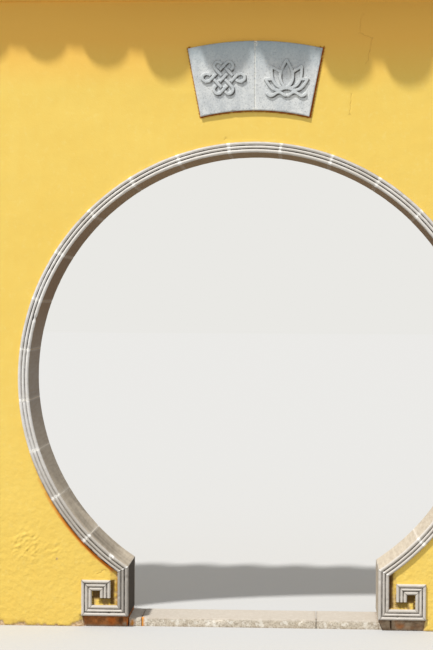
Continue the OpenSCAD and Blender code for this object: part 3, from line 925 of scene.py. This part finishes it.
def plaster_relief(x, z, side):
    """How far the plaster stands out of its plane, and the masks for its finish."""
    places = stacked(x, z, 3.0 * side)
    ragged = ragged_noise(places, 0.030, 21)
    uneven = 0.003 * ragged
    relief = 0.0012 * noise(places, 0.42, 1, 2) + 0.0006 * noise(places * (0.45, 1, 1), 0.11, 5, 2)
    relief += 0.00022 * noise(places, 0.028, 9, 2)

    above = z - crumbled_height(x, side, places, uneven)
    crumbled = fade(-0.003, 0.001, above)
    # the plaster curls in to the footing
    out = np.abs(x)
    curl = fade(0.0, 0.012, out - FOOT_OUT + CORNER_LEAN * (1 - z / FOOT_Z) + uneven) * (z < FOOT_Z + 0.002)
    # a thin lip against the ring
    away = np.hypot(x, z - GATE_Z) - RING_R
    beside_ring = z > MITRE_OUT_Z
    lip = beside_ring * fade(0.0, 0.009, np.abs(away)) * (0.6 + 0.4 * ragged)
    relief += 0.0012 * lip - 0.0035 * crumbled - 0.008 * curl
    low = lower_left(x, z)
    reach = 0.003 + 0.010 * low + uneven

    # worn strip between the scroll's arm and the jamb, and the hollow of the scroll
    strip_top = 0.285
    strip = (out < ARM_RIGHT) & (out > JAMB_OUT - 0.004) & (z > FOOT_Z) & (z < strip_top)
    hollow = (out < FOOT_OUT - MOULD_W) & (out > JAMB_OUT)
    hollow &= (z > FOOT_Z + MOULD_W - 0.006) & (z < FOOT_TOP - MOULD_W + 0.003)
    worn = (strip | hollow) * rise(-0.2, 0.7, noise(places, 0.014, 41, 2))
    relief -= 0.0022 * worn + 0.0010 * (strip | hollow)
    # painted shadow and dirt in the scroll's corners
    soil_and_shade = scroll_soil_and_shade(x, z, strip, hollow, uneven)
    splashed = fade(0.0, 0.030, above) * rise(-0.4, 0.6, ragged)
    masks = {"bare": most(crumbled, 0.6 * curl, 0.6 * worn * (1 - soil_and_shade)),
             "stain_and_shade": 0.6 * strip * fade(0.004, 0.010, out - JAMB_OUT),
             # orange band beside the lower left of the ring: painted shade of its cast shadow, with some
             # stain
             "shade_and_stain_orange": low * beside_ring * fade(reach, reach + 0.005, away),
             "grime_and_shade": most(0.45 * worn + 0.4 * splashed, 0.4 * strip),
             "soil_and_shade": soil_and_shade}
    if side == FRONT:
        front_marks(x, z, relief, masks)
    return relief, masks


def plaster_sheet(side, outline):
    """Front or back face of the wall as a triangle mesh; its first corners follow the outline."""
    points = np.concatenate([outline, plaster_points(side, np.random.default_rng(11 + side))])
    edge = list(range(len(outline)))
    flat, _, faces, *_ = delaunay_2d_cdt([Vector(p) for p in points], [], [edge], 1, 1e-6, False)
    flat, faces = np.array(flat), np.array(faces)
    x, z = flat.T
    relief, masks = plaster_relief(x, z, side)
    faces = faces[in_plaster(flat[faces].mean(axis=1), 0)].tolist()
    return (stacked(x, side * (HALF_T + relief), z), faces), masks


def plaster_wall():
    """Both faces of the wall's plaster, joined along their edges."""
    outline = plaster_outline()
    front, front_masks = plaster_sheet(FRONT, outline)
    back, back_masks = plaster_sheet(BACK, outline)
    verts, faces = join([front, back])
    offset = len(front[0])
    faces += between(list(range(len(outline))), list(range(offset, offset + len(outline))))
    add_piece("plaster_wall", (verts, faces), PLASTER,
              ["wall_left", "wall_right", "wall_over_gate"], 45, join_masks([front_masks, back_masks]))


# Plaque

# Middle and height of the right slab's ornament, and the mean size of a slab
ORNAMENT_X = 0.152
ORNAMENT_Z = 2.672
ORNAMENT_H = 0.0085
SLAB_W = 0.29
SLAB_H = 0.33
# Chips off the edges, as a centre and a width
PLAQUE_CHIPS = (((-0.104, 2.508), 0.014), ((0.003, 2.846), 0.012), ((0.302, 2.808), 0.012))
# Lime smeared beside the joint, as strength, centre and radii
LIME_SMEARS = ((0.8, (0.004, 2.838), (0.012, 0.020)), (0.7, (0.002, 2.525), (0.020, 0.012)))


def band(flat, line):
    """1 on a raised band along the line, 0 beside it."""
    return fade(0.0058, 0.0084, line_distance(flat, line))


def endless_knot(flat):
    """An endless knot on its side: crossing bands, each lowered where it passes under another one."""
    size, reach = (0.0268, 0.0285), 1.55
    lines = [[(offset, -reach), (offset, reach)] for offset in (-1, 0, 1)]
    lines += [[(z, x) for x, z in line] for line in lines]
    corner = ((1, reach), (1.25, 1.95), (1.75, 2.05), (2.05, 1.75), (1.95, 1.25), (reach, 1))
    for sign in (1, -1):
        turn = [(sign * (-0.5 + 0.5 * math.cos(a)), sign * (reach + 0.45 * math.sin(a)))
                for a in np.linspace(0, math.pi, 9)]
        lines += [turn, [(z, x) for x, z in turn], [(sign * x, sign * z) for x, z in corner]]
    raised = most(*(band(flat, [(size[0] * (x + z), size[1] * (z - x)) for x, z in line]) for line in lines))
    x, z = (flat / size / 2).T
    first, second = x - z, x + z
    near_first, near_second = np.round(first), np.round(second)
    from_upper = np.where((near_first + near_second) % 2 == 0, np.abs(first - near_first),
                          np.abs(second - near_second))
    crossing = (np.abs(near_first) <= 1) & (np.abs(near_second) <= 1)
    return raised * (1 - 0.7 * crossing * np.exp(-((from_upper - 0.25) / 0.06) ** 2))


def flipped(points):
    """The same points in reverse order, mirrored left to right."""
    return [(-a, b) for a, b in reversed(points)]


def petal(base_x, base_z, width, height, lean):
    """Outline of a pointed petal on its base, leaning to one side by an angle in degrees."""
    side = [(width / 2 * math.sin(math.pi * t ** 0.8), t * height) for t in np.linspace(0, 1, 15)]
    cos, sin = math.cos(math.radians(lean)), math.sin(math.radians(lean))
    return [(base_x + x * cos + z * sin, base_z - x * sin + z * cos) for x, z in side + flipped(side[:-1])]


def within(flat, outline):
    """Whether each point lies inside a closed outline."""
    odd = np.zeros(len(flat), bool)
    for (x0, z0), (x1, z1) in zip(outline, outline[1:] + outline[:1]):
        crossed = (z0 > flat[:, 1]) != (z1 > flat[:, 1])
        odd ^= crossed & (flat[:, 0] < x0 + (x1 - x0) * (flat[:, 1] - z0) / (z1 - z0 or 1.0))
    return odd


def lotus(flat):
    """An open lotus over two waves; each petal hides what lies behind it."""
    petals = [petal(side * 0.016, -0.054, 0.046, 0.096, side * 62) for side in (-1, 1)]
    petals += [petal(side * 0.010, -0.052, 0.056, 0.122, side * 31) for side in (-1, 1)]
    petals.append(petal(0.0, -0.052, 0.062, 0.138, 0))
    waves = [[(side * x, -0.079 - 0.009 * math.cos(x * 84)) for x in np.linspace(0.006, 0.092, 15)]
             for side in (-1, 1)]
    raised = most(*(band(flat, wave) for wave in waves))
    for outline in petals:
        rim = band(flat, outline)
        raised = np.where(within(flat, outline), rim, most(raised, rim))
    return raised


def plate(front, rows, back_y):
    """Closed skin of a plate from the rows of points of its front, and which of them its back repeats."""
    index = np.arange(len(front)).reshape(rows, -1)
    corners = index[:-1, :-1], index[:-1, 1:], index[1:, 1:], index[1:, :-1]
    faces = np.stack(corners, axis=-1).reshape(-1, 4).tolist()
    border = np.concatenate([index[0], index[1:, -1], index[-1, -2::-1], index[-2:0:-1, 0]]).tolist()
    back = list(range(len(front), len(front) + len(border)))
    verts = np.concatenate([front, front[border] * (1, 0, 1) + (0, back_y, 0)])
    return (verts, faces + between(border, back) + [back]), border


def plaque_slab(node, side, ornament):
    """One slab as a fine height field with a raised ornament; side is -1 for the left one."""
    u, v = (grid.ravel() for grid in np.meshgrid(even(180), even(200)))
    x_low, x_high = (PLAQUE_JOINT / 2 + u * (width - PLAQUE_JOINT) / 2
                     for width in (PLAQUE_BOTTOM_W, PLAQUE_TOP_W))
    z_low = PLAQUE_ARC_Z + np.sqrt(PLAQUE_BOTTOM_R ** 2 - x_low ** 2)
    z_high = PLAQUE_ARC_Z + np.sqrt(PLAQUE_TOP_R ** 2 - x_high ** 2)
    x = side * (x_low + (x_high - x_low) * v)
    z = z_low + (z_high - z_low) * v
    flat = stacked(x - side * ORNAMENT_X, z - ORNAMENT_Z)
    raised = ornament(flat)
    # the ornament moved down and to the right, for the painted shadow that it casts
    shadow_below_right = ornament(flat + (-0.0042, 0.0042))
    edge = np.minimum(np.minimum(u, 1 - u) * SLAB_W, np.minimum(v, 1 - v) * SLAB_H)
    places = stacked(x, z, 0.0)
    ragged = ragged_noise(places, 0.02, 61)
    relief = ORNAMENT_H * raised + 0.0003 * noise(places, 0.05, 63, 3)
    relief -= 0.0022 * fade(0.0, 0.004 + 0.002 * ragged, edge)
    for centre, width in PLAQUE_CHIPS:
        relief -= 0.004 * spot(x, z, centre, (width, 0.7 * width))
    lime = most(fade(0.002, 0.0055 + 0.003 * ragged, np.abs(x)),
                *(strength * spot(x, z, *place) for strength, *place in LIME_SMEARS))
    # dirt at the slab's edges, dirt and painted shade at the foot of the ornament, and painted shadow below
    # and right of it
    foot = rise(0.0, 0.25, raised) * fade(0.25, 0.8, raised)
    dirt_and_shade = most(0.25 * fade(0.0, 0.006, edge) * rise(-0.3, 0.6, ragged), 0.6 * foot,
                0.95 * shadow_below_right * (1 - raised) * rise(-1.2, 0.2, ragged))
    skin, border = plate(stacked(x, -PLAQUE_FRONT - relief, z), 201, PLAQUE_DEPTH - PLAQUE_FRONT)
    at_joint = (u < 0.001)[border] * 1.0
    masks = {"lime": np.append(lime, at_joint), "dirt_and_shade": np.append(dirt_and_shade * (u > 0.02), 0.6 - 0.6 * at_joint),
             "tone": (0.25 if side < 0 else 0.1) + 0.9 * np.append(raised, 0 * at_joint)}
    add_piece(node + "_slab", skin, PLAQUE_STONE, [node], 50, masks)


# Threshold and footing

# How far the footing's inner ends lean back at the ground, left and right
FOOTING_LEAN = (0.004, 0.022)
# Splashes of limewash on the threshold: a round one, and a run down its front
SPLASH = (-0.592, 0.016)
RUN_X = -0.541
# Joint in the footing on the right, and places on it as a centre and two radii
FOOTING_JOINT_X = 0.670
STAIN_RIGHT = ((0.715, 0.022), (0.030, 0.020))
UNSTAINED = ((-0.625, 0.010), (0.018, 0.016))
BRIGHT_PATCH = ((-0.690, 0.030), (0.026, 0.028))
BRIGHT_STREAK = ((-0.614, 0.018), (0.007, 0.024))
DARK_PATCH = ((-0.645, 0.030), (0.016, 0.030))


def slab_section(half_d, height, radius):
    """Rounded-top rectangle in depth and height."""
    left = [(-half_d, z) for z in np.linspace(0, height - radius, 5)]
    left += arc_points((radius - half_d, height - radius), radius, 180, 90, 5)[1:]
    top = [(y, height) for y in np.linspace(radius - half_d, half_d - radius, 25)[1:-1]]
    return left + top + flipped(left)


def threshold():
    """Three stones, worn at their edges; the right one reaches under the end of the footing."""
    section = slab_section(SILL_HALF_D, SILL_H - 0.0006, 0.007)
    for seed, node in enumerate(("threshold_left", "threshold_middle", "threshold_right"), 80):
        low, high = (corner.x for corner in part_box(node))
        width = high - low
        lean = FOOTING_LEAN[1] if node == "threshold_right" else 0.0

        def place(y, z, t):
            return low + (width + lean * (1 - z / FOOT_Z)) * t, y, z
        skin = sweep(section, fine_ends(max(6, round(width / 0.012)), 0.003 / width), place)
        x, y, z = skin[0].T
        ragged = ragged_noise(skin[0], 0.02, 71)
        grime_and_shade = 0.7 * fade(0.0, 0.008, z) + 0.6 * fade(0.001, 0.005, np.minimum(x - low, high - x))
        along_edge = 0.25 * rise(SILL_HALF_D - 0.020, SILL_HALF_D, np.abs(y)) * rise(0.0, 0.7, ragged)
        splash = most(fade(0.008, 0.018 + 0.007 * ragged, np.hypot(x - SPLASH[0], z - SPLASH[1])),
                      fade(0.003, 0.007 + 0.003 * ragged, np.abs(x - RUN_X)))
        masks = {"grime_and_shade": np.clip(most(grime_and_shade, along_edge), 0, 1), "splash": splash * (y < 0.02 - SILL_HALF_D),
                 "top": rise(SILL_H - 0.010, SILL_H - 0.003, z)}
        draw = np.random.default_rng(seed)
        chips = [((draw.uniform(low, high), -SILL_HALF_D, SILL_H), draw.uniform(0.010, 0.022), 0.003)
                 for _ in range(max(1, round(width * 12)))]
        add_piece(node + "_stone", skin, THRESHOLD, [node], 50, masks,
                  (0.0007, 0.05, 3, seed), chips)


def footing():
    """Mortar under the feet: soaked brown with orange on the left, paler on the right, with painted shade
    along the top.
    """
    section = slab_section(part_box("footing")[1].y, FOOT_Z - 0.0005, 0.003)
    inner, outer = JAMB_IN + 0.001, FOOT_OUT
    parts = []
    for side, lean in zip((-1, 1), FOOTING_LEAN):
        def place(y, z, t):
            return side * (inner + (outer - inner) * t + lean * (1 - z / FOOT_Z) * (1 - t)), y, z
        parts.append(sweep(section, even(56), place))
    skin = join(parts)
    x, z = skin[0][:, 0], skin[0][:, 2]
    ragged = ragged_noise(skin[0], 0.02, 95)
    uneven = 0.003 * ragged
    patchy = noise(skin[0], 0.05, 97, 2)
    left = x < 0
    # pale crumbs along the ground
    clear = rise(0.003, 0.007, z + uneven)
    stain_and_shade = most(0.95 * left * rise(-0.832, -0.815, x + 0.2 * z + 0.004 * ragged),
                 0.7 * spot(x, z, *STAIN_RIGHT), 0.25 * rise(-0.3, 0.6, patchy))
    stain_and_shade *= 1 - spot(x, z, *UNSTAINED)
    bright = 0.8 * spot(x, z + uneven, *BRIGHT_PATCH) + spot(x, z, *BRIGHT_STREAK)
    bright = most(bright, 0.2 * left * rise(0.0, 0.6, ragged))
    # painted shade along the top under the overhang of the feet; grime lower down and in patches
    grime_and_shade = most(0.4 * rise(FOOT_Z - 0.010, FOOT_Z - 0.002, z) + 0.35 * left * rise(0.1, 0.7, patchy),
                 0.8 * spot(x, z, *DARK_PATCH), 0.5 * left * fade(0.004, 0.018 + 2 * uneven, z))
    joint = fade(0.003, 0.006, np.abs(x - FOOTING_JOINT_X)) * (z > 0.010)
    masks = {"stain_and_shade": stain_and_shade * clear, "bright": np.clip(bright, 0, 1),
             "grime_and_shade": np.clip(most(grime_and_shade * clear, joint), 0, 1)}
    add_piece("footing_mortar", skin, FOOTING, ["footing"], 60, masks,
              (0.0025, 0.02, 3, 91), top=FOOT_Z)


# Eave courses and coping


def along_wall(outline):
    """Sweep of an outline in depth and height along the whole wall."""
    return sweep(outline, even(round(2 * HALF_LEN / 0.03)), lambda y, z, t: (HALF_LEN * (2 * t - 1), y, z))


def eave_courses():
    """A half-round course, and a fillet under a cove."""
    low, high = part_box("eave_course_lower")
    nose = (high.z - low.z) / 2
    half_round = arc_points((-HALF_T, low.z + nose), nose, 270, 90, 11)
    low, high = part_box("eave_course_upper")
    fillet_out = HALF_T + 0.06
    cove_r = high.y - fillet_out
    cove_z = low.z + 0.045
    cove = [(-fillet_out, low.z), (-fillet_out, cove_z - cove_r)]
    cove += arc_points((-high.y, cove_z), cove_r, 0, 90, 9) + [(-high.y, high.z)]
    for name, node, half, sharp, grime_and_shade, seed in (("half_round", "lower", half_round, 60, 0.15, 101),
                                                 ("cove", "upper", cove, 40, 0.2, 103)):
        add_piece("eave_" + name, along_wall(half + flipped(half)), PLASTER, ["eave_course_" + node],
                  sharp, {"grime_and_shade": grime_and_shade}, (0.0008, 0.09, 3, seed))


def on_slope(x, up, off, side):
    """World place of a point given along the wall, up the slope from the eave and off the bed."""
    y = -BED_OUT + up * math.cos(ROOF_PITCH) - off * math.sin(ROOF_PITCH)
    z = BED_LOW.z + BED_EDGE + up * math.sin(ROOF_PITCH) + off * math.cos(ROOF_PITCH)
    return -side * x, -side * y, z


def slope_length(off):
    """How far up the slope the base of the ridge is, at a height off the bed."""
    return (BED_OUT - RIDGE_HALF_W + off * math.sin(ROOF_PITCH)) / math.cos(ROOF_PITCH)


def shell_section(inner_r, half_angle, middle):
    """Section of a curved tile, about the axis of its barrel, to both sides of an angle in degrees."""
    outer = arc_points((0, 0), inner_r + TILE_T, middle - half_angle, middle + half_angle, 13)
    return outer + arc_points((0, 0), inner_r, middle + half_angle, middle - half_angle, 13)


def tile(section, centre_x, centre_off, start, length, lift, draw, side):
    """One curved tile down the slope; its lower end lies higher by lift, on the tile below."""
    twist = draw.normal(0, 0.010)
    shift = draw.normal(0, 0.0015)
    start += draw.normal(0, 0.0025)

    def place(a, b, t):
        x = centre_x + shift + a + twist * (t - 0.5) * length
        return on_slope(x, start + t * length, centre_off + b + lift * (1 - t), side)
    return sweep(section, even(4), place)


def tinted(skin, draw):
    """The skin of a tile, and the random tone of all its corners."""
    return skin, np.full(len(skin[0]), draw.uniform(0, 0.7))


def add_tiles(name, tiles, nodes, seed):
    skins, tones = zip(*tiles)
    add_piece(name, join(skins), TILE, nodes, masks={"tone": np.concatenate(tones)},
              worn=(0.0006, 0.04, 2, seed))


def end_disc(centre_x, slip, side):
    """Round end of a row of cover tiles: a rim, a hollow ring and a boss, each given as radius and place."""
    back = -OVERHANG - slip
    front = back - 0.017
    rings = [(COVER_R - 0.001, back), (COVER_R, back - 0.003), (COVER_R, front + 0.003), (0.0695, front),
             (0.0625, front), (0.060, front + 0.005), (0.036, front + 0.005), (0.033, front + 0.001),
             (0.022, front + 0.0005), (0.018, front - 0.0005), (0.006, front - 0.001)]

    def place(a, b, ring):
        radius, up = ring
        return on_slope(centre_x + radius * a, up, SEAT_H + radius * b, side)
    return sweep(arc_points((0, 0), 1.0, 0, 350, 36), rings, place)


def drip_outline():
    """Tongue of a drip tile from the front, starting at its left upper corner and going down."""
    half_w, height = TILE_PITCH / 2 - 0.030, 0.120
    shift = (height ** 2 - half_w ** 2) / (2 * half_w)
    left = [(shift - math.sqrt((half_w + shift) ** 2 - z ** 2), z)
            for z in np.linspace(0.040, -height * 0.999, 18)]
    right = flipped(left[:-1])
    trough = [(x, PAN_R + TILE_T - math.sqrt(PAN_R ** 2 - x ** 2))
              for x in np.linspace(right[-1][0], left[0][0], 15)[1:-1]]
    return left + right + trough


def drip_plate(centre_x, slip, side):
    """Drip tile's tongue: a thin hanging plate with a raised border, given as size and depth."""
    out = OVERHANG + slip
    y_front = -BED_OUT - out * math.cos(ROOF_PITCH) - SEAT_H * math.sin(ROOF_PITCH)
    middle_z = -0.045
    z_seat = BED_LOW.z + BED_EDGE - out * math.sin(ROOF_PITCH) + middle_z
    levels = [(1.0, TILE_T + 0.006), (1.0, 0.002), (0.985, 0.0), (0.90, 0.0), (0.87, 0.004)]

    def place(x, z, level):
        size, depth = level
        return -side * (centre_x + x * size), -side * (y_front + depth), z_seat + (z - middle_z) * size
    return sweep(drip_outline(), levels, place)


def roof_side(side, name):
    """Pan tiles, drip tiles, cover tiles and the mortar between them on one slope."""
    draw = np.random.default_rng(120 + side)
    half_angle = math.degrees(math.asin((TILE_PITCH / 2 - 0.044) / (PAN_R + TILE_T)))
    trough = shell_section(PAN_R, half_angle, -90)
    barrel = shell_section(COVER_R - TILE_T, 90, 90)
    seat = [(-0.052, 0.0), (0.052, 0.0), (0.058, SEAT_H), (0.050, SEAT_H + 0.03), (0.0, SEAT_H + 0.056),
            (-0.050, SEAT_H + 0.03), (-0.058, SEAT_H)]
    pan_end = slope_length(0.01)
    cover_end = slope_length(SEAT_H + COVER_R) - 0.004
    pans, covers, mortar = [], [], []
    for row in range(PAN_COUNT):
        x = (row - (PAN_COUNT - 1) / 2) * TILE_PITCH
        slip = PAN_SLIPS[row] if side == FRONT else draw.normal(0, 0.003)
        for start in np.arange(-OVERHANG - slip - 0.005, pan_end - 0.05, 0.062):
            length = min(0.125, pan_end - start)
            pans.append(tinted(tile(trough, x, PAN_R + TILE_T, start, length, 0.006, draw, side), draw))
        pans.append(tinted(drip_plate(x, slip, side), draw))
    for row in range(PAN_COUNT + 1):
        x = (row - PAN_COUNT / 2) * TILE_PITCH
        slip = COVER_SLIPS[row] if side == FRONT else draw.normal(0, 0.003)
        for start in np.linspace(-OVERHANG - slip, cover_end, 4)[:-1]:
            length = min(0.150, cover_end - start)
            covers.append(tinted(tile(barrel, x, SEAT_H, start, length, 0.005, draw, side), draw))
        covers.append(tinted(end_disc(x, slip, side), draw))
        low = -0.002 - OVERHANG - slip
        mortar.append(sweep(seat, even(14),
                            lambda a, b, t: on_slope(x + a, low + (cover_end - low) * t, b, side)))
    for node, tiles, seed in (("pan_tiles_" + name, pans, 130), ("cover_tiles_" + name, covers, 133)):
        add_tiles(node + "_clay", tiles, [node], seed)
    add_piece("tile_bedding_" + name, join(mortar), BED_MORTAR, sharp=60,
              worn=(0.002, 0.03, 2, 136))


def flat_tile(half_w, z, height):
    """Outline of a flat tile seen from its end, with rounded noses."""
    radius = height / 2
    return (arc_points((half_w - radius, z + radius), radius, -90, 90, 7)
            + arc_points((radius - half_w, z + radius), radius, 90, 270, 7))


def ridge():
    """Ridge: plastered base, tile fillets, neck and cap tiles laid end to end."""
    fillet_half, fillet_h = RIDGE_HALF_W + 0.015, 0.025
    neck_half, neck_h = 0.075, 0.065
    cap_half, cap_seat_h, cap_r = 0.095, 0.020, 0.080
    cap_seat_z = RIDGE_TOP - cap_r - cap_seat_h
    fillet_z = cap_seat_z - neck_h - fillet_h
    slope_z = BED_HIGH.z - RIDGE_HALF_W * math.tan(ROOF_PITCH)
    side = [(-RIDGE_HALF_W, slope_z), (-RIDGE_HALF_W, fillet_z)]
    neck = [(-neck_half, fillet_z + fillet_h - 0.001), (-neck_half, cap_seat_z + 0.001)]
    body = join([along_wall([(0.0, BED_HIGH.z)] + side + flipped(side)), along_wall(neck + flipped(neck))])
    add_piece("ridge_body", body, PLASTER, ["ridge"], masks={"grime_and_shade": 0.25},
              worn=(0.0010, 0.08, 3, 141))

    draw = np.random.default_rng(150)
    tiles = []
    flat_len, cap_len, gap = 0.235, 0.300, 0.0012
    for half_w, z, height, length in ((fillet_half, fillet_z, fillet_h, flat_len),
                                      (cap_half, cap_seat_z, cap_seat_h, flat_len),
                                      (cap_r, cap_seat_z + cap_seat_h, 0.0, cap_len)):
        count = round(2 * HALF_LEN / length)
        size = 2 * HALF_LEN / count
        for i in range(count):
            low = -HALF_LEN + i * size + (gap if i else 0)
            high = -HALF_LEN + (i + 1) * size - (gap if i < count - 1 else 0)
            drop = abs(draw.normal(0, 0.0010))
            if height:
                outline = flat_tile(half_w, z - (0 if z < cap_seat_z else drop), height)
            else:
                outline = arc_points((0, z - drop), half_w, 0, 180, 17)
            skin = sweep(outline, even(6), lambda y, up, t: (low + (high - low) * t, y, up))
            tiles.append(tinted(skin, draw))
    add_tiles("ridge_tiles", tiles, [], 151)


# Studio

FOCAL_PX = 1668.1
FRAME_H_PX = 650
CAMERA_PLACE = Vector((0.2663, -8.2325, 1.6303))
CAMERA_YAW = 0.05539
CAMERA_PITCH = -0.01888
CAMERA_ROLL = 0.00397
LIGHT_DIRECTION = Vector((0.31, 0.36, -0.84))


def camera():
    """Camera at the photograph's place, turned a little to the left and down."""
    forward = Vector((-math.sin(CAMERA_YAW) * math.cos(CAMERA_PITCH),
                      math.cos(CAMERA_YAW) * math.cos(CAMERA_PITCH), math.sin(CAMERA_PITCH)))
    level = Vector((math.cos(CAMERA_YAW), math.sin(CAMERA_YAW), 0.0))
    right = level * math.cos(CAMERA_ROLL) + level.cross(forward) * math.sin(CAMERA_ROLL)
    data = bpy.data.cameras.new("camera")
    data.sensor_width = 36.0
    data.lens = data.sensor_width * FOCAL_PX / FRAME_H_PX
    data.clip_end = 200.0
    holder = bpy.data.objects.new("camera", data)
    turn = Matrix((right, right.cross(forward), -forward)).transposed()
    holder.matrix_world = Matrix.Translation(CAMERA_PLACE) @ turn.to_4x4()
    bpy.context.scene.collection.objects.link(holder)
    bpy.context.scene.camera = holder


def show_apart(tree, kind, seen, lit):
    """Lets the camera see one colour while another one lights the scene, and gives the lit node."""
    out = next(n for n in tree.nodes if n.type.startswith("OUTPUT"))
    for node in [n for n in tree.nodes if n != out]:
        tree.nodes.remove(node)
    blend = tree.nodes.new("ShaderNodeMixShader")
    path = tree.nodes.new("ShaderNodeLightPath")
    tree.links.new(path.outputs["Is Camera Ray"], blend.inputs[0])
    for colour, place in ((seen, 2), (lit, 1)):
        node = tree.nodes.new(kind)
        node.inputs["Color"].default_value = colour
        tree.links.new(node.outputs[0], blend.inputs[place])
    tree.links.new(blend.outputs[0], out.inputs["Surface"])
    return node


def studio():
    """A soft key from the upper left, an even pale surround and a pale floor."""
    lamp = bpy.data.lights.new("key", "SUN")
    lamp.energy = 3.55
    lamp.angle = math.radians(3.0)
    lamp.color = (1.0, 0.985, 0.955)
    key = bpy.data.objects.new("key", lamp)
    key.rotation_euler = LIGHT_DIRECTION.to_track_quat("-Z", "Y").to_euler()
    bpy.context.scene.collection.objects.link(key)

    world = bpy.data.worlds.new("surround")
    world.use_nodes = True
    bpy.context.scene.world = world
    lit = show_apart(world.node_tree, "ShaderNodeBackground", srgb(234, 233, 229), (1.0, 1.0, 1.0, 1.0))
    lit.inputs["Strength"].default_value = 0.62

    reach = 60.0
    mesh = bpy.data.meshes.new("floor")
    mesh.from_pydata([(-reach, -reach, 0), (reach, -reach, 0), (reach, reach, 0), (-reach, reach, 0)], [],
                     [(0, 1, 2, 3)])
    floor = bpy.data.objects.new("floor", mesh)
    bpy.context.scene.collection.objects.link(floor)
    paint = bpy.data.materials.new("pale_floor")
    paint.use_nodes = True
    show_apart(paint.node_tree, "ShaderNodeBsdfDiffuse", (0.52, 0.52, 0.515, 1.0), (0.35, 0.35, 0.34, 1.0))
    mesh.materials.append(paint)
    bpy.context.scene.view_settings.view_transform = "Standard"


camera()
studio()
plaster_wall()
ring_stones()
ring_joints()
jambs()
scroll("scroll_front_left", 1, 1, 60)
scroll("scroll_front_right", -1, 1, 61)
scroll("scroll_back_left", 1, -1, 62)
scroll("scroll_back_right", -1, -1, 63)
plaque_slab("plaque_left", -1, endless_knot)
plaque_slab("plaque_right", 1, lotus)
threshold()
footing()
eave_courses()
roof_side(FRONT, "front")
roof_side(BACK, "back")
ridge()
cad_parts["roof_bed"].data.materials.clear()
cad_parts["roof_bed"].data.materials.append(BED_MORTAR)
